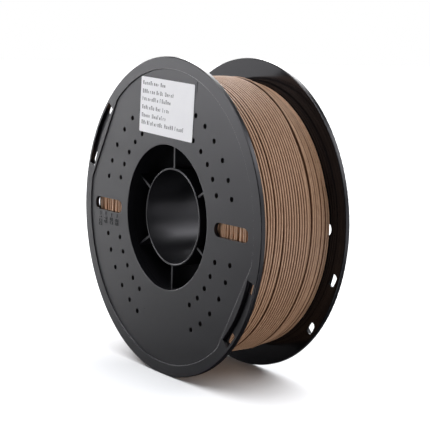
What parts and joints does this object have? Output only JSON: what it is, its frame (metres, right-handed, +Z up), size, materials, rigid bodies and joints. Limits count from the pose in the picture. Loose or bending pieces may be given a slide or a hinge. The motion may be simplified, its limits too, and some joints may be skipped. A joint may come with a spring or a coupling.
{
  "type": "filament spool",
  "caption": "Plastic filament spool with a webbed hub, wound full of tan strand, with a plain paper label.",
  "frame": {"origin": "centre of the spool, on its axis midway between the flanges", "axes": "+Y along the spool's axis towards the rear flange, the labelled flange at -Y, +Z up through the label"},
  "size_m": [0.2, 0.0654, 0.2],
  "materials": {
    "spool_plastic": "satin moulded black plastic",
    "filament": "wood-brown extruded strand, soft sheen",
    "label_paper": "coated white label paper"
  },
  "bodies": {
    "root": {"front_flange": "spool_plastic", "rear_flange": "spool_plastic", "drum": "spool_plastic", "hub_tube": "spool_plastic", "hub_web_1": "spool_plastic", "hub_web_2": "spool_plastic", "hub_web_3": "spool_plastic", "hub_web_4": "spool_plastic", "hub_web_5": "spool_plastic", "hub_web_6": "spool_plastic", "filament_inner_layers": "filament", "filament_outer_layers": "filament", "filament_top_layer": "filament", "filament_last_turns": "filament", "filament_free_end": "filament", "filament_start_end": "filament", "label": "label_paper"}
  },
  "joints": []
}
